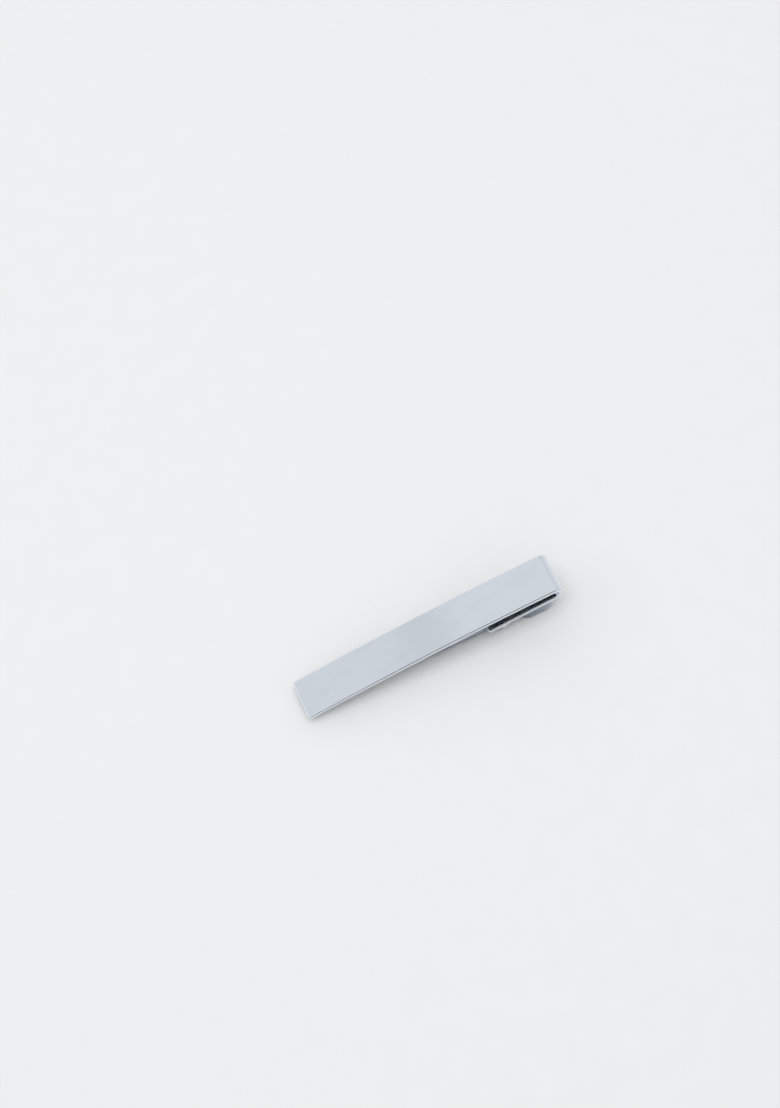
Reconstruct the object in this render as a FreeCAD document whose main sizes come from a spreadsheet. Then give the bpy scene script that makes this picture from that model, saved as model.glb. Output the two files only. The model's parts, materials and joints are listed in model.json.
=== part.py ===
import FreeCAD, Part
import math
import os
import re
import Sketcher
from FreeCAD import Placement, Rotation, Vector

# Spring tie clip: a polished strip folded round at one end, with a pinch clasp behind it.
# Row frame, millimetres: the clip lies face up on the flat back of its lever.
#   +X runs to the folded end, where the thumb tail is; -X is the mouth that the tie enters.
#   +Z is up, towards the polished face; Z = 0 is the plane of the lever's flat back.
#   The origin is on that plane, straight below the hinge axis, which runs along Y.
# The strip, its bracket and the rivet are drawn in the bar's own frame, whose origin is on the
# hinge axis, and are then tilted so that the free end comes down onto the jaw.

doc = FreeCAD.newDocument("tie_clip")

# ---------------------------------------------------------------- driving dimensions
size = {
    # polished strip
    "bar_length": 58.0,
    "bar_width": 8.6,
    "bar_thick": 1.2,
    "arch_radius": 415.0,  # gentle outward bow, on the face
    "fold_radius": 2.3,  # outside of the fold
    "fold_reach": 14.0,  # hinge axis to the outermost point of the fold
    "leg_back": 3.6,  # how far the return leg runs past the hinge axis
    "corner_radius": 0.5,  # free end, corners in plan
    "edge_radius": 0.22,
    # how the strip sits on the lever
    "closed_tilt": 6.5,  # degrees between strip and lever when shut
    "axle_height": 1.5,  # hinge axis above the resting plane
    "bite_gap": 0.06,  # tooth tips to the strip's back when shut
    # bracket
    "base_gap": 1.02,  # hinge axis to the underside of the base
    "bracket_sheet": 0.4,
    "bracket_length": 6.4,
    "bracket_width": 7.4,  # over the ears
    "ear_radius": 1.15,
    "ear_foot": 2.4,  # half the ear's width where it meets the base
    # lever
    "lever_sheet": 0.5,
    "jaw_reach": 40.0,  # hinge axis to the jaw's tip
    "jaw_width": 5.2,
    "lever_width": 6.2,  # over the cheeks
    "cheek_radius": 0.95,
    "cheek_foot": 3.0,  # half the cheek's width where it meets the web
    "flange_height": 1.3,  # above the resting plane
    "tail_reach": 13.0,  # hinge axis to the tip of the thumb tail
    "tail_width": 8.2,
    "tail_flare": 5.6,  # hinge axis to where the tail reaches its full width
    "tooth_pitch": 1.0,
    "tooth_depth": 0.4,
    "jaw_heel": 2.0,  # slope from the last tooth down to the flange
    "nose_radius": 0.8,  # jaw tip, corners in plan
    # thumb ribs, pressed up into the tail from below
    "rib_start": 6.2,
    "rib_pitch": 1.5,
    "rib_width": 0.7,
    "rib_length": 5.2,
    "rib_depth": 0.15,
    # rivet
    "pin_radius": 0.45,
    "pin_fit": 0.03,  # radial clearance of the lever, which turns
    "ear_fit": 0.01,  # radial clearance of the ears, which don't
    "head_radius": 0.8,
    "head_height": 0.35,
    # spring
    "wire_radius": 0.2,
    "coil_radius": 0.75,  # to the wire's centre
    "coil_pitch": 0.42,
    "coil_turns": 7.5,
    "spring_leg": 5.0,
}
TEETH = 6
RIBS = 4


def strip_back(x):
    """Height of the strip's back above the resting plane at X = x, when shut.

    The back is an arc about the bow's centre: z = bow_z + sqrt(r^2 - (x - bow_x)^2).
    """
    fold_x = size["fold_reach"] - size["fold_radius"]
    fold_z = size["base_gap"] + size["bracket_sheet"] + size["fold_radius"]
    bow_x = size["fold_reach"] - size["bar_length"] / 2
    bow_z = fold_z - math.sqrt(
        (size["arch_radius"] - size["fold_radius"]) ** 2 - (fold_x - bow_x) ** 2
    )
    tilted = Rotation(Vector(0, -1, 0), size["closed_tilt"]).multVec(Vector(bow_x, 0, bow_z))
    radius = size["arch_radius"] - size["bar_thick"]
    return size["axle_height"] + tilted.z + math.sqrt(radius**2 - (x - tilted.x) ** 2)


# The line of the tooth tips follows the strip's back.
size["tip_low"] = strip_back(-size["jaw_reach"]) - size["bite_gap"]
size["tip_high"] = strip_back(TEETH * size["tooth_pitch"] - size["jaw_reach"]) - size["bite_gap"]

sheet = doc.addObject("Spreadsheet::Sheet", "Sizes")
for row, (alias, value) in enumerate(size.items(), start=1):
    sheet.set(f"A{row}", alias)
    sheet.set(f"B{row}", str(value))
    sheet.setAlias(f"B{row}", alias)
doc.recompute()


# ---------------------------------------------------------------- helpers
def in_cells(formula):
    """The formula with each size's name turned into its cell."""
    return re.sub(r"[a-z_]+", lambda word: f"Sizes.{word[0]}" if word[0] in size else word[0], formula)


def amount(formula):
    return float(sheet.evalExpression(in_cells(formula)))


def bind(thing, path, formula):
    """Tie a property of an object to the sheet."""
    thing.setExpression(path, in_cells(formula))


def add_body(name):
    body = doc.addObject("PartDesign::Body", name)
    body.Label = name
    return body


def origin_item(body, role):
    return next(item for item in body.Origin.OriginFeatures if item.Role == role)


def add_sketch(body, name, plane, height=None):
    """An empty sketch on one of the body's own origin planes, or a stated height above it."""
    sketch = body.newObject("Sketcher::SketchObject", name)
    sketch.AttachmentSupport = (origin_item(body, plane), "")
    sketch.MapMode = "FlatFace"
    if height:
        bind(sketch, ".AttachmentOffset.Base.z", height)
    return sketch


def dimension(sketch, name, formula, kind, *where):
    """A named dimension of a sketch, bound to the sheet."""
    index = sketch.addConstraint(Sketcher.Constraint(kind, *where, amount(formula)))
    sketch.renameConstraint(index, name)
    bind(sketch, f"Constraints.{name}", formula)


def fix_point(sketch, name, item, end, across, up):
    """Hold a point of a sketch at (across, up) from the sketch's origin."""
    for kind, axis, formula in (("DistanceX", -2, across), ("DistanceY", -1, up)):
        value = amount(formula)
        if abs(value) < 1e-9:
            sketch.addConstraint(Sketcher.Constraint("PointOnObject", item, end, axis))
        elif value > 0:
            dimension(sketch, name + kind[-1], formula, kind, -1, 1, item, end)
        else:
            dimension(sketch, name + kind[-1], f"-({formula})", kind, item, end, -1, 1)


def point(across, up):
    return Vector(amount(across), amount(up), 0)


def draw_outline(sketch, corners):
    """A closed outline of straight lines through corners given as pairs of formulas."""
    spots = [point(*corner) for corner in corners]
    for start, end in zip(spots, spots[1:] + spots[:1]):
        sketch.addGeometry(Part.LineSegment(start, end))
    for item, corner in enumerate(corners):
        last = (item - 1) % len(corners)
        sketch.addConstraint(Sketcher.Constraint("Coincident", last, 2, item, 1))
        fix_point(sketch, f"corner{item}", item, 1, *corner)


def draw_circle(sketch, radius, up="0"):
    circle = Part.Circle(point("0", up), Vector(0, 0, 1), amount(radius))
    sketch.addGeometry(circle)
    fix_point(sketch, "centre", 0, 3, "0", up)
    dimension(sketch, "radius", radius, "Radius", 0)


def draw_lug(sketch, centre_up, radius, foot, foot_up):
    """A round-ended tab: a straight foot, and two sides tangent to an arc round the rivet."""
    centre = point("0", centre_up)
    left = point(f"-({foot})", foot_up)
    right = point(foot, foot_up)
    round_size = amount(radius)
    upright = centre.y > left.y
    away = right - centre
    turn = math.acos(round_size / away.Length)
    lean = math.atan2(away.y, away.x) + (turn if upright else -turn)
    first, last = (lean, math.pi - lean) if upright else (math.pi - lean, 2 * math.pi + lean)
    arc = Part.ArcOfCircle(Part.Circle(centre, Vector(0, 0, 1), round_size), first, last)
    right_end, left_end = (1, 2) if upright else (2, 1)
    tangent = {1: arc.StartPoint, 2: arc.EndPoint}
    sketch.addGeometry(Part.LineSegment(left, right))
    sketch.addGeometry(Part.LineSegment(right, tangent[right_end]))
    sketch.addGeometry(arc)
    sketch.addGeometry(Part.LineSegment(tangent[left_end], left))
    sketch.addConstraint(Sketcher.Constraint("Coincident", 0, 2, 1, 1))
    sketch.addConstraint(Sketcher.Constraint("Tangent", 1, 2, 2, right_end))
    sketch.addConstraint(Sketcher.Constraint("Tangent", 2, left_end, 3, 1))
    sketch.addConstraint(Sketcher.Constraint("Coincident", 3, 2, 0, 1))
    fix_point(sketch, "left", 0, 1, f"-({foot})", foot_up)
    fix_point(sketch, "right", 0, 2, foot, foot_up)
    fix_point(sketch, "centre", 2, 3, "0", centre_up)
    dimension(sketch, "radius", radius, "Radius", 2)


def draw_slot(sketch, across, width, length):
    """A slot with round ends that lies across the piece, centred on its length."""
    half = f"({length} - {width}) / 2"
    radius = amount(f"{width} / 2")
    middle, reach = amount(across), amount(half)
    up, down = Vector(middle, reach, 0), Vector(middle, -reach, 0)
    side = Vector(radius, 0, 0)
    normal = Vector(0, 0, 1)
    sketch.addGeometry(Part.LineSegment(down + side, up + side))
    sketch.addGeometry(Part.ArcOfCircle(Part.Circle(up, normal, radius), 0, math.pi))
    sketch.addGeometry(Part.LineSegment(up - side, down - side))
    sketch.addGeometry(Part.ArcOfCircle(Part.Circle(down, normal, radius), math.pi, 2 * math.pi))
    for item in range(4):
        sketch.addConstraint(Sketcher.Constraint("Tangent", item, 2, (item + 1) % 4, 1))
    fix_point(sketch, "upper", 1, 3, across, half)
    fix_point(sketch, "lower", 3, 3, across, f"-({half})")
    dimension(sketch, "radius", f"{width} / 2", "Radius", 1)


def pad_across(body, name, sketch, width):
    """Add the sketch's outline as a solid, to both sides of the middle plane."""
    pad = body.newObject("PartDesign::Pad", name)
    pad.Profile = sketch
    pad.SideType = "Symmetric"
    bind(pad, "Length", width)
    return pad


def pad_up(body, name, sketch, height):
    pad = body.newObject("PartDesign::Pad", name)
    pad.Profile = sketch
    bind(pad, "Length", height)
    return pad


def cut(body, name, sketch, depth, upward=False):
    """Cut the sketch's outline away: to both sides of its plane, or only upward from it."""
    before = body.Tip.Shape.Volume
    pocket = body.newObject("PartDesign::Pocket", name)
    pocket.Profile = sketch
    pocket.SideType = "One side" if upward else "Symmetric"
    pocket.Reversed = upward
    bind(pocket, "Length", depth)
    doc.recompute()
    if pocket.Shape.Volume > before - 1e-6:
        raise RuntimeError(f"{name} cuts nothing")
    return pocket


def round_edges(body, name, radius, wanted):
    """Round every edge of the body for which wanted(edge) is true."""
    doc.recompute()
    base = body.Tip
    edges = [f"Edge{i}" for i, edge in enumerate(base.Shape.Edges, start=1) if wanted(edge)]
    fillet = body.newObject("PartDesign::Fillet", name)
    fillet.Base = (base, edges)
    bind(fillet, "Radius", radius)
    doc.recompute()
    return fillet


def lies_at(edge, **where):
    """True if the whole edge lies at the stated coordinate, such as z=0."""
    box = edge.BoundBox
    spans = [
        (getattr(box, axis.upper() + "Min") - value, getattr(box, axis.upper() + "Max") - value)
        for axis, value in where.items()
    ]
    return all(abs(low) < 1e-4 and abs(high) < 1e-4 for low, high in spans)


def tilt_with_bar(thing):
    """Put a piece drawn in the bar's frame onto the hinge axis, tilted as when shut."""
    thing.Placement = Placement(
        Vector(0, 0, size["axle_height"]), Rotation(Vector(0, -1, 0), size["closed_tilt"])
    )
    bind(thing, "Placement.Base.z", "axle_height")
    bind(thing, "Placement.Rotation.Angle", "closed_tilt * 1 deg")


# ---------------------------------------------------------------- face_bar
def make_face_bar():
    """One strip: an outward-bowed plate, a round fold and a short straight return leg."""
    body = add_body("face_bar")
    sketch = add_sketch(body, "bar_side", "XZ_Plane")
    leg_up = "base_gap + bracket_sheet"
    fold = point("fold_reach - fold_radius", f"{leg_up} + fold_radius")
    bow_x = amount("fold_reach - bar_length / 2")
    end_x = amount("fold_reach - bar_length")
    outer, thick = size["arch_radius"], size["bar_thick"]
    bow = Vector(
        bow_x, fold.y - math.sqrt((outer - size["fold_radius"]) ** 2 - (fold.x - bow_x) ** 2), 0
    )
    lean = math.atan2(fold.y - bow.y, fold.x - bow_x)
    normal = Vector(0, 0, 1)

    def bow_arc(radius):
        return Part.ArcOfCircle(Part.Circle(bow, normal, radius), lean, math.acos((end_x - bow_x) / radius))

    def fold_arc(radius):
        return Part.ArcOfCircle(Part.Circle(fold, normal, radius), -math.pi / 2, lean)

    face, back = bow_arc(outer), bow_arc(outer - thick)
    round_out, round_in = fold_arc(size["fold_radius"]), fold_arc(size["fold_radius"] - thick)
    leg_end = amount("-leg_back")
    top, bottom = round_in.StartPoint, round_out.StartPoint
    sketch.addGeometry(face)
    sketch.addGeometry(Part.LineSegment(face.EndPoint, back.EndPoint))
    sketch.addGeometry(back)
    sketch.addGeometry(round_in)
    sketch.addGeometry(Part.LineSegment(top, Vector(leg_end, top.y, 0)))
    sketch.addGeometry(Part.LineSegment(Vector(leg_end, top.y, 0), Vector(leg_end, bottom.y, 0)))
    sketch.addGeometry(Part.LineSegment(Vector(leg_end, bottom.y, 0), bottom))
    sketch.addGeometry(round_out)
    joins = [
        ("Coincident", 0, 2, 1, 1),
        ("Coincident", 1, 2, 2, 2),
        ("Tangent", 2, 1, 3, 2),
        ("Tangent", 3, 1, 4, 1),
        ("Coincident", 4, 2, 5, 1),
        ("Coincident", 5, 2, 6, 1),
        ("Tangent", 6, 2, 7, 1),
        ("Tangent", 7, 2, 0, 1),
        ("Coincident", 0, 3, 2, 3),
        ("Coincident", 3, 3, 7, 3),
        ("Vertical", 1),
        ("Horizontal", 4),
        ("Vertical", 5),
        ("Horizontal", 6),
    ]
    for join in joins:
        sketch.addConstraint(Sketcher.Constraint(*join))
    dimension(sketch, "arch_radius", "arch_radius", "Radius", 0)
    dimension(sketch, "fold_outside", "fold_radius", "Radius", 7)
    dimension(sketch, "fold_inside", "fold_radius - bar_thick", "Radius", 3)
    fix_point(sketch, "fold_centre", 7, 3, "fold_reach - fold_radius", f"{leg_up} + fold_radius")
    dimension(sketch, "middle", "bar_length / 2 - fold_reach", "DistanceX", 0, 3, -1, 1)
    dimension(sketch, "free_end", "bar_length - fold_reach", "DistanceX", 1, 1, -1, 1)
    dimension(sketch, "leg_end", "leg_back", "DistanceX", 5, 1, -1, 1)
    pad_across(body, "strip", sketch, "bar_width")

    def upright_corner(edge):
        return lies_at(edge, x=end_x) and edge.BoundBox.YLength < 1e-6

    round_edges(body, "free_corners", "corner_radius", upright_corner)

    def long_edge(edge):
        box = edge.BoundBox
        at_side = min(abs(abs(box.YMin) - size["bar_width"] / 2), abs(box.YLength)) < 1e-4
        return at_side and box.YLength < 1e-4 and box.XLength > 1.0

    round_edges(body, "polished_edges", "edge_radius", long_edge)
    tilt_with_bar(body)
    return body


# ---------------------------------------------------------------- hinge_bracket
def make_hinge_bracket():
    """A pressed U: a base brazed under the return leg, and an ear down each side of the lever."""
    body = add_body("hinge_bracket")
    half, top = "bracket_length / 2", "base_gap + bracket_sheet"
    base = add_sketch(body, "base_side", "XZ_Plane")
    corners = [(f"-{half}", "base_gap"), (half, "base_gap"), (half, top), (f"-{half}", top)]
    draw_outline(base, corners)
    pad_across(body, "base", base, "bracket_width")
    ear = add_sketch(body, "ear_side", "XZ_Plane")
    draw_lug(ear, "0", "ear_radius", "ear_foot", top)
    pad_across(body, "ears", ear, "bracket_width")
    doc.recompute()
    channel = add_sketch(body, "channel_side", "XZ_Plane")
    low, wide = "-2 * ear_radius", "2 * ear_foot"
    draw_outline(channel, [(f"-{wide}", low), (wide, low), (wide, "base_gap"), (f"-{wide}", "base_gap")])
    cut(body, "channel", channel, "bracket_width - 2 * bracket_sheet")
    hole = add_sketch(body, "rivet_hole_side", "XZ_Plane")
    draw_circle(hole, "pin_radius + ear_fit")
    cut(body, "rivet_hole", hole, "2 * bracket_width")
    tilt_with_bar(body)
    return body


# ---------------------------------------------------------------- clasp_lever
def draw_lever_plan(sketch):
    """The lever from above: narrow jaw, parallel cheeks, and a thumb tail with a round end."""
    corners = [
        ("tail_flare", "tail_width / 2"),
        ("cheek_foot", "lever_width / 2"),
        ("-cheek_foot", "lever_width / 2"),
        ("-jaw_reach", "jaw_width / 2"),
    ]
    mirrored = [(across, f"-({up})") for across, up in reversed(corners)]
    tail_x = "tail_reach - tail_width / 2"
    route = [(tail_x, "tail_width / 2")] + corners + mirrored + [(tail_x, "-(tail_width / 2)")]
    spots = [point(*corner) for corner in route]
    for start, end in zip(spots, spots[1:]):
        sketch.addGeometry(Part.LineSegment(start, end))
    for item, corner in enumerate(route[:-1]):
        fix_point(sketch, f"corner{item}", item, 1, *corner)
        if item:
            sketch.addConstraint(Sketcher.Constraint("Coincident", item - 1, 2, item, 1))
    last = len(route) - 2
    round_end = Part.Circle(point(tail_x, "0"), Vector(0, 0, 1), amount("tail_width / 2"))
    tail = sketch.addGeometry(Part.ArcOfCircle(round_end, -math.pi / 2, math.pi / 2))
    fix_point(sketch, "tail_centre", tail, 3, tail_x, "0")
    sketch.addConstraint(Sketcher.Constraint("Tangent", last, 2, tail, 1))
    sketch.addConstraint(Sketcher.Constraint("Coincident", tail, 2, 0, 1))


def lever_edge_line():
    """Corners of what is cut away above the lever: teeth, heel, flange and flat tail."""
    above = "axle_height + 4"
    rise = f"(tip_high - tip_low) / {TEETH}"
    corners = [("-jaw_reach - 1", above), ("-jaw_reach - 1", "tip_low"), ("-jaw_reach", "tip_low")]
    for tooth in range(TEETH):
        root = f"{tooth} + 0.5"
        corners.append(
            (f"({root}) * tooth_pitch - jaw_reach", f"tip_low + ({root}) * {rise} - tooth_depth")
        )
        corners.append((f"{tooth + 1} * tooth_pitch - jaw_reach", f"tip_low + {tooth + 1} * {rise}"))
    corners.append((f"{TEETH} * tooth_pitch + jaw_heel - jaw_reach", "flange_height"))
    corners.append(("-0.5", "flange_height"))
    corners.append(("-0.5", "lever_sheet"))
    corners.append(("tail_reach + 1", "lever_sheet"))
    corners.append(("tail_reach + 1", above))
    return corners


def make_clasp_lever():
    """A pressed channel: toothed jaw, low flanges, two cheeks on the rivet, flat thumb tail."""
    body = add_body("clasp_lever")
    plan = add_sketch(body, "lever_plan", "XY_Plane")
    draw_lever_plan(plan)
    pad_up(body, "blank", plan, "axle_height + 3")
    doc.recompute()
    side = add_sketch(body, "edge_side", "XZ_Plane")
    draw_outline(side, lever_edge_line())
    cut(body, "edge_line", side, "2 * tail_width")
    cheek = add_sketch(body, "cheek_side", "XZ_Plane")
    draw_lug(cheek, "axle_height", "cheek_radius", "cheek_foot", "lever_sheet / 2")
    pad_across(body, "cheeks", cheek, "lever_width")
    doc.recompute()
    inside = add_sketch(body, "channel_plan", "XY_Plane", "lever_sheet")
    jaw_y, cheek_y = "jaw_width / 2 - lever_sheet", "lever_width / 2 - lever_sheet"
    corners = [
        ("cheek_foot + 1", cheek_y),
        ("-cheek_foot", cheek_y),
        ("lever_sheet - jaw_reach", jaw_y),
    ]
    draw_outline(inside, corners + [(across, f"-({up})") for across, up in reversed(corners)])
    cut(body, "channel", inside, "axle_height + 3", upward=True)
    hole = add_sketch(body, "rivet_hole_side", "XZ_Plane")
    draw_circle(hole, "pin_radius + pin_fit", "axle_height")
    cut(body, "rivet_hole", hole, "2 * lever_width")

    def nose_corner(edge):
        return lies_at(edge, x=-size["jaw_reach"]) and edge.BoundBox.YLength < 1e-6

    round_edges(body, "nose", "nose_radius", nose_corner)
    round_edges(body, "pressed_edges", "edge_radius", lambda edge: lies_at(edge, z=0))

    groove_plan = add_sketch(body, "rib_groove_plan", "XY_Plane")
    draw_slot(groove_plan, "rib_start", "rib_width", "rib_length")
    groove = cut(body, "rib_groove", groove_plan, "rib_depth", upward=True)
    crest_plan = add_sketch(body, "rib_crest_plan", "XY_Plane", "lever_sheet")
    draw_slot(crest_plan, "rib_start", "rib_width", "rib_length")
    crest = pad_up(body, "rib_crest", crest_plan, "rib_depth")
    ribs = body.newObject("PartDesign::LinearPattern", "ribs")
    ribs.Originals = [groove, crest]
    ribs.Direction = (origin_item(body, "X_Axis"), [""])
    ribs.Occurrences = RIBS
    bind(ribs, "Length", f"rib_pitch * {RIBS - 1}")
    body.Tip = ribs
    return body


# ---------------------------------------------------------------- hinge_pin
def make_hinge_pin():
    """A rivet with a low domed head outside each ear, turned about the hinge axis."""
    body = add_body("hinge_pin")
    sketch = add_sketch(body, "half_profile", "YZ_Plane")
    inner, outer = "bracket_width / 2", "bracket_width / 2 + head_height"
    dome = amount("(head_radius ^ 2 + head_height ^ 2) / (2 * head_height)")
    lean = math.asin(size["head_radius"] / dome)
    centre_y = amount(outer) - dome
    normal = Vector(0, 0, 1)
    right = Part.ArcOfCircle(Part.Circle(Vector(centre_y, 0, 0), normal, dome), 0, lean)
    left = Part.ArcOfCircle(Part.Circle(Vector(-centre_y, 0, 0), normal, dome), math.pi - lean, math.pi)
    shank_left, shank_right = point(f"-({inner})", "pin_radius"), point(inner, "pin_radius")
    sketch.addGeometry(Part.LineSegment(left.EndPoint, right.StartPoint))
    sketch.addGeometry(right)
    sketch.addGeometry(Part.LineSegment(right.EndPoint, shank_right))
    sketch.addGeometry(Part.LineSegment(shank_right, shank_left))
    sketch.addGeometry(Part.LineSegment(shank_left, left.StartPoint))
    sketch.addGeometry(left)
    for item in range(6):
        sketch.addConstraint(Sketcher.Constraint("Coincident", item, 2, (item + 1) % 6, 1))
    fix_point(sketch, "tip_left", 0, 1, f"-({outer})", "0")
    fix_point(sketch, "tip_right", 1, 1, outer, "0")
    fix_point(sketch, "rim_right", 2, 1, inner, "head_radius")
    fix_point(sketch, "neck_right", 3, 1, inner, "pin_radius")
    fix_point(sketch, "neck_left", 4, 1, f"-({inner})", "pin_radius")
    fix_point(sketch, "rim_left", 5, 1, f"-({inner})", "head_radius")
    sketch.addConstraint(Sketcher.Constraint("PointOnObject", 1, 3, -1))
    sketch.addConstraint(Sketcher.Constraint("PointOnObject", 5, 3, -1))
    rivet = body.newObject("PartDesign::Revolution", "rivet")
    rivet.Profile = sketch
    rivet.ReferenceAxis = (sketch, ["H_Axis"])
    rivet.Angle = 360
    tilt_with_bar(body)
    return body


# ---------------------------------------------------------------- torsion_spring
def make_torsion_spring():
    """A coil round the rivet, from a leg on the lever to a leg under the bracket.

    The coil is wound about +Z in a frame of its own, from a start at (coil_radius, 0, 0), and
    its last half turn stops short by the closed tilt, so that its second leg lies along the bar.
    """
    turns = "(coil_turns - closed_tilt / 360)"
    path = doc.addObject("Part::Helix", "spring_path")
    bind(path, "Radius", "coil_radius")
    bind(path, "Pitch", "coil_pitch")
    bind(path, "Height", f"coil_pitch * {turns}")
    section = doc.addObject("Part::Circle", "spring_section")
    bind(section, "Radius", "wire_radius")
    section.Placement = Placement(Vector(size["coil_radius"], 0, 0), Rotation(Vector(1, 0, 0), 90))
    doc.recompute()
    coil = doc.addObject("Part::Sweep", "spring_coil")
    coil.Sections = [section]
    coil.Spine = (path, [f"Edge{i}" for i in range(1, len(path.Shape.Edges) + 1)])
    coil.Solid = True
    coil.Frenet = True
    height, angle = amount(f"coil_pitch * {turns}"), amount(f"360 * {turns}")
    first_leg = doc.addObject("Part::Cylinder", "spring_leg_on_lever")
    first_leg.Placement = section.Placement
    last_leg = doc.addObject("Part::Cylinder", "spring_leg_on_bracket")
    turned = Placement(Vector(0, 0, height), Rotation(Vector(0, 0, 1), angle))
    tangent = Placement(Vector(size["coil_radius"], 0, 0), Rotation(Vector(1, 0, 0), -90))
    last_leg.Placement = turned.multiply(tangent)
    for leg in (first_leg, last_leg):
        bind(leg, "Radius", "wire_radius")
        bind(leg, "Height", "spring_leg")
    spring = doc.addObject("Part::MultiFuse", "torsion_spring")
    spring.Label = "torsion_spring"
    spring.Shapes = [coil, first_leg, last_leg]
    # the coil's axis lies along +Y, and the coil starts at the bottom, going towards -X
    about_y = Rotation(Vector(0, 0, -1), Vector(-1, 0, 0), Vector(0, 1, 0), "ZXY")
    spring.Placement = Placement(Vector(0, -height / 2, size["axle_height"]), about_y)
    return spring


pieces = [
    make_face_bar(),
    make_hinge_bracket(),
    make_clasp_lever(),
    make_hinge_pin(),
    make_torsion_spring(),
]
doc.recompute()

# ---------------------------------------------------------------- checks and export
for thing in doc.Objects:
    if "Invalid" in thing.State or "Error" in thing.State:
        raise RuntimeError(f"{thing.Name} failed to build: {thing.State}")
for piece in pieces:
    if piece.Shape.isNull() or not piece.Shape.isValid() or len(piece.Shape.Solids) != 1:
        raise RuntimeError(f"{piece.Label} is not one valid solid")

os.makedirs("parts", exist_ok=True)
for piece in pieces:
    piece.Shape.exportStep(f"parts/{piece.Label}.step")
    box = piece.Shape.BoundBox
    print(
        f"{piece.Label}: volume {piece.Shape.Volume:.2f} mm3,"
        f" X {box.XMin:.2f}..{box.XMax:.2f}, Y {box.YMin:.2f}..{box.YMax:.2f},"
        f" Z {box.ZMin:.2f}..{box.ZMax:.2f}"
    )
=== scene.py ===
# %% [markdown]
# # A spring tie clip
#
# A tie clip holds a tie to the shirt behind it. The piece that shows is one polished strip of metal,
# bowed a little and folded round at one end. Behind it a pressed lever pinches the cloth: its jaw is
# toothed, its other end is a thumb tail, and a small coil spring on a rivet keeps it shut.
#
# The whole object is about as long as a thumb, so everything below is worked out in millimetres and
# turned into metres at the last moment. The imported model is loaded first. It fixes where the hinge
# is and how far the clip opens, and every part made here except the spring rides on one of its two bodies.

# %% Load the frame
import json
import math

import bmesh
import bpy
import numpy as np
from mathutils import Matrix, Vector


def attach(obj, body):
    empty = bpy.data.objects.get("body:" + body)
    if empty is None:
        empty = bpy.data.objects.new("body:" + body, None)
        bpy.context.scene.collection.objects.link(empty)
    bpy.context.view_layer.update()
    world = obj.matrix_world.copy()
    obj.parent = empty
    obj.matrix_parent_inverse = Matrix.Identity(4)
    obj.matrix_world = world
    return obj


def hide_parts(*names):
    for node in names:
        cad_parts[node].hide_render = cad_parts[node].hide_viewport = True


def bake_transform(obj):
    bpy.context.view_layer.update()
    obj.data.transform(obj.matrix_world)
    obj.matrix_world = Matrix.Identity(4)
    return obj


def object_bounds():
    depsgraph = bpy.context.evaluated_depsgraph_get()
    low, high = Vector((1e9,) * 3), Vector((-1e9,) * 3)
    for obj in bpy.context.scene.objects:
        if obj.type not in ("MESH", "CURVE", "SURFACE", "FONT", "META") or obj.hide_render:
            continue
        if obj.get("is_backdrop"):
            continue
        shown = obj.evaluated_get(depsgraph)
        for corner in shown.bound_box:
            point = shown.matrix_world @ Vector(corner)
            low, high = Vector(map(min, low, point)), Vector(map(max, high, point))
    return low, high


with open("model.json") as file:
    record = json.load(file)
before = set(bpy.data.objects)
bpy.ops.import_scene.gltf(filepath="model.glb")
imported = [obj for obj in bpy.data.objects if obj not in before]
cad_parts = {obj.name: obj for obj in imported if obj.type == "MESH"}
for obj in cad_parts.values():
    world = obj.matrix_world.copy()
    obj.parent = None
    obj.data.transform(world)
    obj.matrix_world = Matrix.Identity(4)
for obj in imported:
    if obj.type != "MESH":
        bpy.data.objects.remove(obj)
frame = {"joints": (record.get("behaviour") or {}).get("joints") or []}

cad_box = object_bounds()
MM = 0.001
hinge = frame["joints"][0]
AXLE_HEIGHT = hinge["pos_m"][2] / MM

# %% [markdown]
# ## Turning a formula into a surface
#
# Each piece is a skin over a grid: stations along the piece, and a closed loop of points round it
# at every station. That suits sheet metal, wire and turned rivets alike, since each is one section
# carried along one line. The grid becomes quads in a single step. Both ends close on a pole, and the
# signed volume of the result says whether its faces point outwards, so a skin is turned if need be.
# Where a section shrinks to nothing, as a flange does where it runs out, points of the grid fall
# together, so the skin is welded. Distances along and round the piece are kept in a UV map, so
# scratches and grain can follow it.

# %% A skin over a grid of loops
WELD = 0.0005 * MM


def measure(grid, axis, closed=False):
    """Running length along one direction of the grid, averaged over the other, in millimetres."""
    rolled = np.concatenate([grid, grid[:, :1]], axis=1) if closed else grid
    steps = np.linalg.norm(np.diff(rolled, axis=axis), axis=2).mean(axis=1 - axis)
    return np.concatenate([[0.0], np.cumsum(steps)])


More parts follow.
